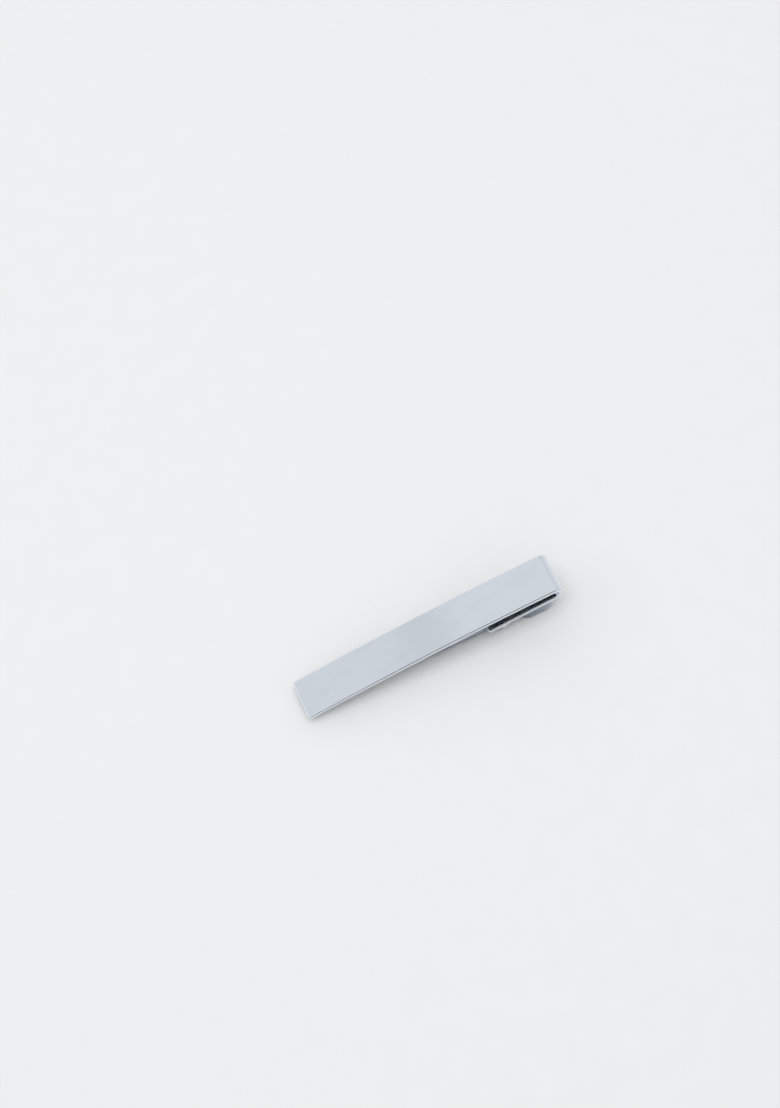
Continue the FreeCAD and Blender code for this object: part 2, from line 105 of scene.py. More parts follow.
def make_skin(name, grid):
    """A closed mesh over grid[station, point] = (x, y, z) in millimetres.

    Quads join each loop to the next, and a fan of triangles closes each end on its middle. Points
    closer than WELD are merged, and a skin whose signed volume is negative has its faces turned.
    """
    stations, around = grid.shape[:2]
    poles = np.stack([grid[0].mean(axis=0), grid[-1].mean(axis=0)])
    corners = np.concatenate([grid.reshape(-1, 3), poles])
    row, column = np.meshgrid(np.arange(stations - 1), np.arange(around), indexing="ij")
    row, column = row.ravel(), column.ravel()
    after = (column + 1) % around
    quads = np.stack(
        [row * around + column, row * around + after,
         (row + 1) * around + after, (row + 1) * around + column], axis=1
    )
    ring = np.arange(around)
    turn = (ring + 1) % around
    last = (stations - 1) * around
    first_fan = np.stack([turn, ring, np.full(around, len(corners) - 2)], axis=1)
    last_fan = np.stack([last + ring, last + turn, np.full(around, len(corners) - 1)], axis=1)

    along, round_it = measure(grid, 0), measure(grid, 1, closed=True)
    quad_uv = np.stack(
        [np.stack([along[row], round_it[column]], 1), np.stack([along[row], round_it[column + 1]], 1),
         np.stack([along[row + 1], round_it[column + 1]], 1),
         np.stack([along[row + 1], round_it[column]], 1)], axis=1
    )
    fan_uv = []
    for end, sides in ((0, (ring + 1, ring, ring)), (-1, (ring, ring + 1, ring))):
        reach = np.full(around, along[end])
        fan_uv.append(np.stack([np.stack([reach, round_it[side]], 1) for side in sides], 1))
    triangles = np.concatenate([first_fan, last_fan])

    mesh = bpy.data.meshes.new(name)
    mesh.from_pydata((corners * MM).tolist(), [], quads.tolist() + triangles.tolist())
    mesh.shade_smooth()
    layer = mesh.uv_layers.new(name="surface")
    uv = np.concatenate([quad_uv.reshape(-1, 2)] + [part.reshape(-1, 2) for part in fan_uv])
    layer.data.foreach_set("uv", uv.ravel().astype(np.float32))
    shell = bmesh.new()
    shell.from_mesh(mesh)
    bmesh.ops.remove_doubles(shell, verts=shell.verts, dist=WELD)
    volume = shell.calc_volume(signed=True) / MM**3
    if volume < 0:
        bmesh.ops.reverse_faces(shell, faces=shell.faces)
    open_edges = sum(not edge.is_manifold for edge in shell.edges)
    shell.to_mesh(mesh)
    shell.free()
    piece = bpy.data.objects.new(name, mesh)
    bpy.context.collection.objects.link(piece)
    print(f"{name}: {len(mesh.polygons)} faces, {open_edges} open edges, {abs(volume):.1f} mm3")
    return piece


# %% [markdown]
# ## A strip of sheet metal
#
# The polished bar and the bracket are both strips: a flat section with rounded edges, carried along
# a line that bends. A mirror finish shows every fault in the shading, so the section has points just
# inside each tangent. They keep the turn of the surface in its rounded edge, and off the flat.
# Towards a strip's ends the section narrows on a quarter circle, which rounds the corners in plan
# and the edges in thickness at the same time.

# %% Sections and ends of a strip
ARC_STEPS = 9
EDGE_SUPPORT = 0.03


def spread(low, high, count, power=1.0):
    """Count numbers from low to high, closer together near low as power grows."""
    return low + (high - low) * np.linspace(0, 1, count) ** power


def rounded_section(half_wide, half_thick, radius, flat_steps=8):
    """Loops (station, point, 2) of a rounded oblong, one for each station's half sizes.

    A corner is a quarter circle about (half_wide - radius, half_thick - radius). A side has a point
    EDGE_SUPPORT inside each tangent and even steps between them.
    """
    half_wide, half_thick, radius = (v[:, None] for v in (half_wide, half_thick, radius))
    turn = np.linspace(0, math.pi / 2, ARC_STEPS)[None, :]
    reach_wide = np.maximum(half_wide - radius, 0)
    reach_thick = np.maximum(half_thick - radius, 0)
    side = np.concatenate([[0.0], np.linspace(0.04, 0.96, flat_steps), [1.0]])[None, 1:-1]
    support = np.minimum(EDGE_SUPPORT, 0.3 * reach_wide)
    across = reach_wide - support - side * 2 * (reach_wide - support)
    brace = np.minimum(EDGE_SUPPORT, 0.3 * reach_thick)
    down = np.concatenate([reach_thick - brace, brace - reach_thick], axis=1)
    ones = np.ones_like(across)
    tall = np.ones_like(down)
    parts = [
        (reach_wide + radius * np.cos(turn), reach_thick + radius * np.sin(turn)),
        (reach_wide - support, half_thick * np.ones_like(support)),
        (across, half_thick * ones),
        (support - reach_wide, half_thick * np.ones_like(support)),
        (-reach_wide - radius * np.sin(turn), reach_thick + radius * np.cos(turn)),
        (-half_wide * tall, down),
        (-reach_wide - radius * np.cos(turn), -reach_thick - radius * np.sin(turn)),
        (support - reach_wide, -half_thick * np.ones_like(support)),
        (-across, -half_thick * ones),
        (reach_wide - support, -half_thick * np.ones_like(support)),
        (reach_wide + radius * np.sin(turn), -reach_thick - radius * np.cos(turn)),
        (half_wide * tall, -down),
    ]
    wide = np.concatenate([part[0] for part in parts], axis=1)
    thick = np.concatenate([part[1] for part in parts], axis=1)
    return np.stack([wide, thick], axis=2)


def quarter_round(distance, radius):
    """How far a rounded end draws in at a distance from the end: radius - sqrt(r^2 - (r - d)^2)."""
    short = np.clip(radius - distance, 0, radius)
    return radius - np.sqrt(radius**2 - short**2)


def end_stations(length, radius, middle):
    """Distances from 0 to length, dense on the rounded ends and as given between them."""
    turn = np.linspace(0, math.pi / 2, ARC_STEPS)
    lead = radius * (1 - np.cos(turn))
    return np.unique(np.concatenate([lead, middle, length - lead]).round(6))


def sweep_strip(centre, outward, side, half_wide, half_thick, radius):
    """Grid of a strip: centre + side * (across the strip) + outward * (through its thickness)."""
    loop = rounded_section(half_wide, half_thick, radius)
    return (
        centre[:, None, :]
        + loop[:, :, :1] * np.asarray(side, float)[None, None, :]
        + loop[:, :, 1:] * outward[:, None, :]
    )


def close_flat(grid, inset=EDGE_SUPPORT):
    """Add a ring a little inside each end loop, so that the flat end starts with a support ring."""
    rings = []
    for loop in (grid[:1], grid[-1:]):
        middle = loop.mean(axis=1, keepdims=True)
        away = np.linalg.norm(loop - middle, axis=2, keepdims=True)
        rings.append(middle + (loop - middle) * (1 - np.minimum(inset / np.maximum(away, 1e-6), 0.5)))
    return np.concatenate([rings[0], grid, rings[1]])


# %% [markdown]
# ## The polished bar
#
# On the bench the bar starts as a flat strip 1.2 mm thick. It is bowed over a large former, then one
# end is folded back round a pin, and only then is it polished and plated. So its side view is three
# tangent stretches: a long bow, a round fold of a little less than half a turn, and a short straight
# return leg that carries the clasp. Everything is drawn in the bar's own frame, with the hinge axis
# as its origin, and turned onto the closed clip at the end.

# %% The bar's centre line
CLOSED_TILT = math.radians(6.5)
BAR_LENGTH, BAR_WIDTH, BAR_THICK = 58.0, 8.6, 1.2
BOW_RADIUS, FOLD_RADIUS, FOLD_REACH = 415.0, 2.3, 14.0
LEG_BACK, LEG_UNDERSIDE = 3.6, 1.42
CORNER_RADIUS, EDGE_RADIUS = 0.5, 0.22

FOLD_CENTRE = np.array([FOLD_REACH - FOLD_RADIUS, LEG_UNDERSIDE + FOLD_RADIUS])
BOW_X = FOLD_REACH - BAR_LENGTH / 2
BOW_DROP = math.sqrt((BOW_RADIUS - FOLD_RADIUS) ** 2 - (FOLD_CENTRE[0] - BOW_X) ** 2)
BOW_CENTRE = np.array([BOW_X, FOLD_CENTRE[1] - BOW_DROP])
BOW_MID, FOLD_MID = BOW_RADIUS - BAR_THICK / 2, FOLD_RADIUS - BAR_THICK / 2
BOW_START = math.acos(-BAR_LENGTH / 2 / BOW_MID)
BOW_END = math.atan2(BOW_DROP, FOLD_CENTRE[0] - BOW_X)
BOW_RUN, FOLD_RUN = (BOW_START - BOW_END) * BOW_MID, (BOW_END + math.pi / 2) * FOLD_MID
LEG_RUN = FOLD_CENTRE[0] + LEG_BACK


def tilt_with_bar(grid):
    """From the bar's frame to the table's: turn the free end down about the hinge, and lift."""
    x, y, z = grid[..., 0], grid[..., 1], grid[..., 2]
    cos, sin = math.cos(CLOSED_TILT), math.sin(CLOSED_TILT)
    return np.stack([x * cos - z * sin, y, x * sin + z * cos + AXLE_HEIGHT], axis=-1)


def bar_line(distance):
    """Centre and outward direction at distances from the free end: a bow, a fold and a leg.

    On the bow and the fold the point is centre + radius * (cos a, sin a), with the angle falling as
    the distance over the radius. Past the fold it runs straight back along the leg.
    """
    on_bow = distance <= BOW_RUN
    round_fold = np.clip(distance - BOW_RUN, 0, FOLD_RUN)
    angle = np.where(on_bow, BOW_START - distance / BOW_MID, BOW_END - round_fold / FOLD_MID)
    radius = np.where(on_bow, BOW_MID, FOLD_MID)[:, None]
    middle = np.where(on_bow[:, None], BOW_CENTRE, FOLD_CENTRE)
    past = np.clip(distance - BOW_RUN - FOLD_RUN, 0, None)
    flat = np.zeros_like(angle)
    outward = np.stack([np.cos(angle), flat, np.sin(angle)], axis=1)
    centre = np.stack([middle[:, 0] - past, flat, middle[:, 1]], axis=1) + radius * outward
    return centre, outward


print(f"bow {BOW_RUN:.1f} mm, fold {FOLD_RUN:.1f} mm, return leg {LEG_RUN:.1f} mm, along the sheet's middle")

# %% Make the bar
def make_face_bar():
    """The strip swept along its line, with rounded corners at the free end and round edges."""
    length = BOW_RUN + FOLD_RUN + LEG_RUN
    middle = np.concatenate([
        np.linspace(CORNER_RADIUS, BOW_RUN, 90),
        np.linspace(BOW_RUN, BOW_RUN + FOLD_RUN, 56),
        np.linspace(BOW_RUN + FOLD_RUN, length - CORNER_RADIUS, 24),
    ])
    distance = end_stations(length, CORNER_RADIUS, middle)
    distance = end_stations(length, EDGE_RADIUS, distance)
    centre, outward = bar_line(distance)
    from_end = np.minimum(distance, length - distance)
    half_wide = BAR_WIDTH / 2 - quarter_round(from_end, CORNER_RADIUS)
    half_thick = BAR_THICK / 2 - quarter_round(from_end, EDGE_RADIUS)
    radius = np.full_like(distance, EDGE_RADIUS)
    grid = sweep_strip(centre, outward, (0, 1, 0), half_wide, half_thick, radius)
    bar = make_skin("polished_bar", tilt_with_bar(close_flat(grid)))
    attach(bar, "bar")
    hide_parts("face_bar")
    return bar


polished_bar = make_face_bar()

# %% [markdown]
# ## The hinge bracket
#
# The bracket is blanked from thin sheet and bent to a U: a base that is brazed under the return leg,
# and an ear down each side. It is the same kind of strip, only bent the other way and of changing
# width. From the wide base it necks in at each bend, tapers down the ear and ends on a half circle
# about the rivet. The holes are under the rivet's heads, so the sheet is left whole there.

# %% Make the bracket
BASE_GAP, BRACKET_SHEET = 1.02, 0.4
BRACKET_LENGTH, BRACKET_WIDTH = 6.4, 7.4
EAR_RADIUS, EAR_FOOT, BEND_RADIUS = 1.15, 2.4, 0.32
BASE_CORNER, SHEET_EDGE = 0.35, 0.1


def tapered_tab(below, foot_half, foot_up, radius):
    """Half width of a round-ended tab at a depth below its pin: tangent sides, then the circle."""
    reach = math.hypot(foot_half, foot_up)
    lean = math.atan2(foot_up, foot_half) - math.acos(radius / reach)
    touch = np.array([radius * math.cos(lean), radius * math.sin(lean)])
    slope = (foot_half - touch[0]) / (foot_up - touch[1])
    straight = touch[0] + (-below - touch[1]) * slope
    arc = np.sqrt(np.clip(radius**2 - below**2, 0, None))
    return np.where(-below > touch[1], straight, arc)


def make_hinge_bracket():
    """A strip along the U: up one ear, round a bend, across the base, and down the other ear."""
    ear_mid = BRACKET_WIDTH / 2 - BRACKET_SHEET / 2
    base_mid = BASE_GAP + BRACKET_SHEET / 2
    ear_run = EAR_RADIUS + base_mid - BEND_RADIUS
    bend_run = BEND_RADIUS * math.pi / 2
    base_run = 2 * (ear_mid - BEND_RADIUS)
    length = 2 * (ear_run + bend_run) + base_run
    tip = EAR_RADIUS * (1 - np.cos(np.linspace(0.06, math.pi / 2, 22)))
    half = np.concatenate([
        tip, np.linspace(EAR_RADIUS, ear_run, 16), np.linspace(ear_run, ear_run + bend_run, 14),
        ear_run + bend_run + spread(0, base_run / 2, 26, 1.6),
    ])
    distance = np.unique(np.concatenate([half, length - half]).round(6))
    near = np.minimum(distance, length - distance)
    bend = np.clip((near - ear_run) / BEND_RADIUS, 0, math.pi / 2)
    past = np.clip(near - ear_run - bend_run, 0, None)
    sign = np.where(distance < length / 2, -1.0, 1.0)
    up = np.minimum(near, ear_run) - EAR_RADIUS + BEND_RADIUS * np.sin(bend)
    over = ear_mid - BEND_RADIUS * (1 - np.cos(bend)) - past
    zero = np.zeros_like(near)
    centre = np.stack([zero, sign * over, up], axis=1)
    outward = np.stack([zero, sign * np.cos(bend), np.sin(bend)], axis=1)
    ear_half = tapered_tab(EAR_RADIUS - np.minimum(near, ear_run), EAR_FOOT, BASE_GAP, EAR_RADIUS)
    neck = np.clip((near - ear_run - 0.5 * bend_run) / (1.4 * bend_run), 0, 1)
    base_half = BRACKET_LENGTH / 2 - quarter_round(past, BASE_CORNER)
    half_wide = ear_half + (base_half - ear_half) * neck**2 * (3 - 2 * neck)
    radius = np.minimum(SHEET_EDGE, 0.9 * half_wide)
    half_thick = BRACKET_SHEET / 2 - quarter_round(near, SHEET_EDGE)
    grid = sweep_strip(centre, outward, (1, 0, 0), half_wide, half_thick, radius)
    bracket = make_skin("hinge_bracket_pressing", tilt_with_bar(grid))
    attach(bracket, "bar")
    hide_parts("hinge_bracket")
    return bracket


hinge_bracket = make_hinge_bracket()

# %% [markdown]
# ## The clasp lever
#
# The lever is the piece that does the holding. It is one pressing, a shallow channel: the web lies
# flat, and low flanges stiffen it. They rise to two cheeks at the rivet and to two rows of teeth at
# the jaw. Past the cheeks there are no flanges, and the web spreads into a thumb tail with four ribs
# pressed up from below for grip. So at every station the section is the same loop with four sizes
# that change along the lever: its half width, flange height, floor height and the ribs' lift.

# %% Outline and edge line of the lever
LEVER_SHEET, JAW_REACH, JAW_WIDTH = 0.5, 40.0, 5.2
LEVER_WIDTH, CHEEK_RADIUS, CHEEK_FOOT = 6.2, 0.95, 3.0
FLANGE_HEIGHT, TAIL_REACH, TAIL_WIDTH, TAIL_FLARE = 1.3, 13.0, 8.2, 5.6
TEETH, TOOTH_PITCH, TOOTH_DEPTH, JAW_HEEL, NOSE_RADIUS = 6, 1.0, 0.4, 2.0, 0.8
RIB_START, RIB_PITCH, RIB_COUNT, RIB_LENGTH, RIB_WIDTH, RIB_DEPTH = 6.2, 1.5, 4, 5.2, 0.8, 0.15
BITE_GAP, TOOTH_SHARPNESS, CHEEK_FILLET = 0.06, 0.985, 0.12
OUTER_BEND, INNER_BEND, LEVER_EDGE = 0.35, 0.16, 0.14


def strip_back(x):
    """Height of the bar's hollow back over the table at x, with the clip shut.

    The back is an arc about the bow's centre, so it is centre + sqrt(radius^2 - (x - centre)^2).
    """
    bow_x, _, bow_z = tilt_with_bar(np.array([BOW_CENTRE[0], 0, BOW_CENTRE[1]]))
    return bow_z + np.sqrt((BOW_RADIUS - BAR_THICK) ** 2 - (x - bow_x) ** 2)


def smooth_step(value, low, high):
    """0 below low, 1 above high, and 3t^2 - 2t^3 between them."""
    t = np.clip((value - low) / (high - low), 0, 1)
    return t * t * (3 - 2 * t)


def soft_higher(a, b, blend):
    """The higher of two edge lines, with a small fillet where they cross.

    It is (a + b + sqrt((a - b)^2 + k^2)) / 2, less k / 2 * exp(-|a - b| / k), where k is the blend.
    """
    return (a + b + np.sqrt((a - b) ** 2 + blend**2)) / 2 - blend / 2 * np.exp(-np.abs(a - b) / blend)


def lever_half_width(x):
    """Half the lever's width: a slow taper, an even run past the cheeks, a flare and a round end."""
    arm = np.interp(x, [-JAW_REACH, -CHEEK_FOOT], [JAW_WIDTH / 2, LEVER_WIDTH / 2])
    flare = arm + (TAIL_WIDTH - LEVER_WIDTH) / 2 * smooth_step(x, CHEEK_FOOT, TAIL_FLARE)
    nose = flare - quarter_round(x + JAW_REACH, NOSE_RADIUS)
    round_from = TAIL_REACH - TAIL_WIDTH / 2
    end = np.sqrt(np.clip((TAIL_WIDTH / 2) ** 2 - np.clip(x - round_from, 0, None) ** 2, 0, None))
    return np.minimum(nose, end)


def flange_line(x):
    """Height of the flange's edge: teeth, heel, even flange, cheek about the rivet, flat tail.

    The teeth are a triangle wave, asin of a sine, with its tips on a line that follows the bar.
    """
    tooth_end = TEETH * TOOTH_PITCH - JAW_REACH
    low, high = (strip_back(v) - BITE_GAP for v in (-JAW_REACH, tooth_end))
    tips = low + (high - low) * (x + JAW_REACH) / (tooth_end + JAW_REACH)
    swing = TOOTH_SHARPNESS * np.cos(2 * math.pi * (x + JAW_REACH) / TOOTH_PITCH)
    wave = np.arcsin(swing) / math.asin(TOOTH_SHARPNESS)
    teeth = tips - TOOTH_DEPTH * (1 - wave) / 2
    heel = high + (FLANGE_HEIGHT - high) * np.clip((x - tooth_end) / JAW_HEEL, 0, 1)
    edge = np.where(x < tooth_end, teeth, heel)
    beside = np.abs(x)
    cheek = AXLE_HEIGHT + np.sqrt(np.clip(CHEEK_RADIUS**2 - beside**2, 0, None))
    drop = AXLE_HEIGHT - LEVER_SHEET / 2
    lean = math.acos(CHEEK_RADIUS / math.hypot(CHEEK_FOOT, drop)) - math.atan2(drop, CHEEK_FOOT)
    touch = CHEEK_RADIUS * math.cos(lean)
    side = AXLE_HEIGHT + CHEEK_RADIUS * math.sin(lean) - (beside - touch) / math.tan(lean)
    cheek = np.where(beside < touch, cheek, np.maximum(side, 0))
    flange = np.where(x < 0, edge, LEVER_SHEET)
    return soft_higher(flange, np.maximum(cheek, LEVER_SHEET), CHEEK_FILLET)


def rib_lift(x, y):
    """Height that the ribs raise the sheet: a cosine bump about each of the ribs' middle lines."""
    lift = np.zeros(np.broadcast(x, y).shape)
    beyond = np.clip(np.abs(y) - (RIB_LENGTH - RIB_WIDTH) / 2, 0, None)
    for rib in range(RIB_COUNT):
        away = np.hypot(x - RIB_START - rib * RIB_PITCH, beyond)
        lift += RIB_DEPTH * 0.5 * (1 + np.cos(math.pi * np.clip(away / (RIB_WIDTH / 2), 0, 1)))
    return lift


print(f"lever {JAW_REACH + TAIL_REACH:.0f} mm long, {TEETH} teeth, {RIB_COUNT} ribs")

# %% Make the lever
def lever_loops(x, floor):
    """The channel's loop at each station, from the middle of the web's underside and round.

    Going round: underside, outer bend, outside of the flange, its rounded edge, inside of the
    flange, inner bend and the floor. The other half is the mirror image.
    """
    half, top = lever_half_width(x), flange_line(x)
    top = np.maximum(top, LEVER_SHEET)
    floor = np.minimum(floor, top)
    bend = np.minimum(OUTER_BEND, 0.45 * half)
    bend = np.minimum(bend, 0.2 + 0.5 * np.clip(top - LEVER_SHEET, 0, None))
    edge = np.minimum(LEVER_EDGE, 0.45 * half)
    wall = np.minimum(LEVER_SHEET, half)
    inner_bend = np.minimum(INNER_BEND, 0.4 * (top - floor))
    inner_edge = np.minimum(LEVER_EDGE, 0.4 * (top - floor))
    column = [v[:, None] for v in (half, top, floor, bend, edge, wall, inner_bend, inner_edge)]
    half, top, floor, bend, edge, wall, inner_bend, inner_edge = column
    turn = np.linspace(0, math.pi / 2, 7)[None, :]
    web = np.linspace(0, 1, 26)[None, :-1]
    rise = np.array([[0.02, 0.5, 0.98]])
    ones = np.ones_like(half)
    wide_run, floor_run = half - bend, half - wall - inner_bend
    y_parts = [
        wide_run * web,
        half - bend + bend * np.sin(turn),
        half * np.ones_like(rise),
        half - edge + edge * np.cos(turn),
        half - wall + inner_edge - inner_edge * np.sin(turn),
        (half - wall) * np.ones_like(rise),
        half - wall - inner_bend + inner_bend * np.cos(turn),
        floor_run * (1 - web[:, 1:]),
    ]
    z_parts = [
        0 * ones * web,
        bend - bend * np.cos(turn),
        bend + (top - edge - bend) * rise,
        top - edge + edge * np.sin(turn),
        top - inner_edge + inner_edge * np.cos(turn),
        top - inner_edge + (floor + inner_bend - top + inner_edge) * rise,
        floor + inner_bend - inner_bend * np.sin(turn),
        floor * np.ones_like(web[:, 1:]),
    ]
    y, z = np.concatenate(y_parts, axis=1), np.concatenate(z_parts, axis=1)
    middle_top = (np.zeros_like(half), floor)
    y = np.concatenate([y, middle_top[0], -y[:, :0:-1]], axis=1)
    z = np.concatenate([z, middle_top[1], z[:, :0:-1]], axis=1)
    x = np.broadcast_to(x[:, None], y.shape)
    flat = (z < 1e-6) | (np.abs(z - floor) < 1e-6)
    z = z + np.where(flat, rib_lift(x, y), 0)
    return np.stack([x, y, z], axis=2)


def make_clasp_lever():
    """Stations along the lever, dense where its edge line or its ribs change.

    The wall behind the teeth is solid: its floor has no limit, so lever_loops stops it at the edge.
    """
    nose = -JAW_REACH + NOSE_RADIUS * (1 - np.cos(np.linspace(0, math.pi / 2, 14)))
    wall_end = -JAW_REACH + LEVER_SHEET
    teeth_end = TEETH * TOOTH_PITCH - JAW_REACH
    round_from = TAIL_REACH - TAIL_WIDTH / 2
    heel_end = teeth_end + JAW_HEEL
    ribs_end = RIB_START + (RIB_COUNT - 1) * RIB_PITCH
    x = np.concatenate([
        nose,
        np.arange(-JAW_REACH + 0.05, teeth_end + 0.01, 0.05),
        [teeth_end + JAW_HEEL / 2, heel_end],
        np.linspace(heel_end + 0.2, -CHEEK_FOOT - 0.4, 26),
        np.arange(-CHEEK_FOOT - 0.3, CHEEK_FOOT + 0.31, 0.09),
        np.linspace(CHEEK_FOOT + 0.4, RIB_START - 0.5, 16),
        np.arange(RIB_START - 0.45, ribs_end + 0.5, 0.07),
        round_from + TAIL_WIDTH / 2 * np.sin(np.linspace(0.45, 0.985 * math.pi / 2, 40)),
    ])
    x = np.unique(x.round(4))
    behind = x[x < wall_end - 1e-6]
    ahead = x[x > wall_end + 1e-6]
    x = np.concatenate([behind, [wall_end, wall_end], ahead])
    floor = np.full_like(x, LEVER_SHEET)
    floor[: len(behind) + 1] = np.inf
    lever = make_skin("pinch_lever", lever_loops(x, floor))
    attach(lever, "clasp")
    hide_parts("clasp_lever")
    return lever


pinch_lever = make_clasp_lever()

# %% [markdown]
# ## The rivet
#
# The hinge pin is turned from rod and its ends are domed over outside the ears. A turned piece is a
# profile carried round an axis: the stations run along the axis, and each loop is a circle.

# %% Make the rivet
PIN_RADIUS, HEAD_RADIUS, HEAD_HEIGHT, RIM_ROUND = 0.45, 0.8, 0.35, 0.05


def make_rivet():
    """Radius against distance along the axis: a dome, its rounded rim, the shank, and the mirror."""
    face = BRACKET_WIDTH / 2
    dome = (HEAD_RADIUS**2 + HEAD_HEIGHT**2) / (2 * HEAD_HEIGHT)
    lean = np.linspace(0.02, math.asin(0.93 * HEAD_RADIUS / dome), 16)
    head_out = face + HEAD_HEIGHT - dome + dome * np.cos(lean)
    head_radius = dome * np.sin(lean)
    rim = np.linspace(0.35, math.pi / 2 + 0.9, 7)
    rim_radius = 0.94 * HEAD_RADIUS + 0.06 * HEAD_RADIUS * np.sin(rim)
    rim_out = face + RIM_ROUND + RIM_ROUND * np.cos(rim)
    out = np.concatenate([head_out, rim_out, [face, face - RIM_ROUND, face / 2, 0.0]])
    shank = [0.9 * HEAD_RADIUS, PIN_RADIUS, PIN_RADIUS, PIN_RADIUS]
    radius = np.concatenate([head_radius, rim_radius, shank])
    along = np.concatenate([-out, out[-2::-1]])
    radius = np.concatenate([radius, radius[-2::-1]])
    angle = np.linspace(0, 2 * math.pi, 49)[None, :-1]
    grid = np.stack(
        [radius[:, None] * np.cos(angle), along[:, None] * np.ones_like(angle),
         radius[:, None] * np.sin(angle)], axis=2
    )
    rivet = make_skin("domed_rivet", tilt_with_bar(grid))
    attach(rivet, "bar")
    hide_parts("hinge_pin")
    return rivet


domed_rivet = make_rivet()

# %% [markdown]
# ## The spring
#
# The spring is one length of drawn wire: a straight leg that rests on the lever, seven and a half
# turns round the rivet, and a straight leg that pushes up the bracket. The wire's line is a helix that
# eases in and out of its advance, so each leg leaves it without a kink.

# %% Make the spring
WIRE_RADIUS, COIL_RADIUS, COIL_PITCH, COIL_TURNS, SPRING_LEG = 0.2, 0.75, 0.42, 7.5, 5.0
CUT_ROUND = 0.04


def spring_line(steps_per_turn=44):
    """Wire centre, and the outward direction held by its section, from leg tip to leg tip.

    The coil turns about Y from straight down, first towards -X. Its advance eases over a quarter
    turn at each end. A leg runs straight on along the tangent at either end of the coil.
    """
    angle_end = 2 * math.pi * COIL_TURNS - CLOSED_TILT
    height = COIL_PITCH * angle_end / (2 * math.pi)
    angle = np.linspace(0, angle_end, int(COIL_TURNS * steps_per_turn))
    rate = smooth_step(angle, 0, math.pi / 2) * smooth_step(angle_end - angle, 0, math.pi / 2)
    advance = np.concatenate([[0], np.cumsum((rate[1:] + rate[:-1]) / 2)])
    advance = (advance / advance[-1] - 0.5) * height
    out = np.stack([-np.sin(angle), np.zeros_like(angle), -np.cos(angle)], axis=1)
    coil = COIL_RADIUS * out
    coil[:, 1] = advance
    leg = np.concatenate([[0, 0.02, 0.05], np.linspace(0.2, SPRING_LEG, 14)])[:, None]
    first = coil[0] + np.array([1.0, 0, 0]) * leg[::-1]
    forward = np.array([math.cos(CLOSED_TILT), 0, math.sin(CLOSED_TILT)])
    last = coil[-1] + forward * leg
    line = np.concatenate([first[:-1], coil, last[1:]])
    held = len(leg) - 1
    outward = np.concatenate([np.repeat(out[:1], held, 0), out, np.repeat(out[-1:], held, 0)])
    return line, outward, height


def make_spring():
    """A round section carried along the wire's line, drawn in a little at the two cut ends."""
    line, outward, height = spring_line()
    forward = np.gradient(line, axis=0)
    forward /= np.linalg.norm(forward, axis=1, keepdims=True)
    beside = np.cross(forward, outward)
    beside /= np.linalg.norm(beside, axis=1, keepdims=True)
    cut = np.array([0.55, 0.85, 1.0])
    shrink = np.ones(len(line) + 4)
    shrink[:3], shrink[-3:] = cut, cut[::-1]
    tip = CUT_ROUND * np.array([0.0, 0.4, 1.0])
    pad_first = line[:1] + forward[:1] * tip[:2, None]
    pad_last = line[-1:] - forward[-1:] * tip[1::-1, None]
    line = np.concatenate([pad_first, line[:1] + forward[:1] * tip[2], line[1:-1],
                           line[-1:] - forward[-1:] * tip[2], pad_last])
    outward = np.concatenate([outward[:1], outward[:1], outward, outward[-1:], outward[-1:]])
    beside = np.concatenate([beside[:1], beside[:1], beside, beside[-1:], beside[-1:]])
    angle = np.linspace(0, 2 * math.pi, 17)[None, :-1, None]
    ring = outward[:, None, :] * np.cos(angle) + beside[:, None, :] * np.sin(angle)
    grid = line[:, None, :] + WIRE_RADIUS * shrink[:, None, None] * ring
    grid = grid + np.array([0, 0, AXLE_HEIGHT])
    spring = make_skin("coil_spring", grid)
    reach = height / 2 - WIRE_RADIUS
    near_end = (0, -reach * MM, AXLE_HEIGHT * MM)
    far_end = (0, reach * MM, AXLE_HEIGHT * MM)
    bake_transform(spring)
    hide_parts("torsion_spring")
    return spring


coil_spring = make_spring()

# %% [markdown]
# ## Writing a finish as an expression
#
# A finish is a node tree, and a node tree is easier to read as a sum than as a list of links. The
# small class below wraps the output of a node. Adding or multiplying two of them adds a Math node,
# so 0.1 + 0.05 * smudges is a roughness. Every other node comes from one method, which takes the
# node's type, its settings and its inputs. What is the same all over stays on the shader's sockets.

# %% Sockets that can be added and multiplied
class Quantity:
    """A number that changes over the surface."""

    def __init__(self, finish, output):
        self.finish, self.output = finish, output

    def combine(self, operation, *values):
        return self.finish.node("ShaderNodeMath", {"operation": operation}, dict(enumerate(values)))

    def __add__(self, other):
        return self.combine("ADD", self, other)

    def __sub__(self, other):
        return self.combine("SUBTRACT", self, other)

    def __rsub__(self, other):
        return self.combine("SUBTRACT", other, self)

    def __mul__(self, other):
        return self.combine("MULTIPLY", self, other)

    def __pow__(self, other):
        return self.combine("POWER", self, other)

    __radd__, __rmul__ = __add__, __mul__

    def sine(self):
        return self.combine("SINE", self)

    def beside(self, output):
        """Another output of the same node."""
        return Quantity(self.finish, self.output.node.outputs[output])

    def above(self, low, high):
        """0 where the number is below low, 1 where it is above high, and smooth between."""
        return self.finish.node(
            "ShaderNodeMapRange", {"interpolation_type": "SMOOTHSTEP"},
            {"Value": self, "From Min": low, "From Max": high}, "Result",
        )


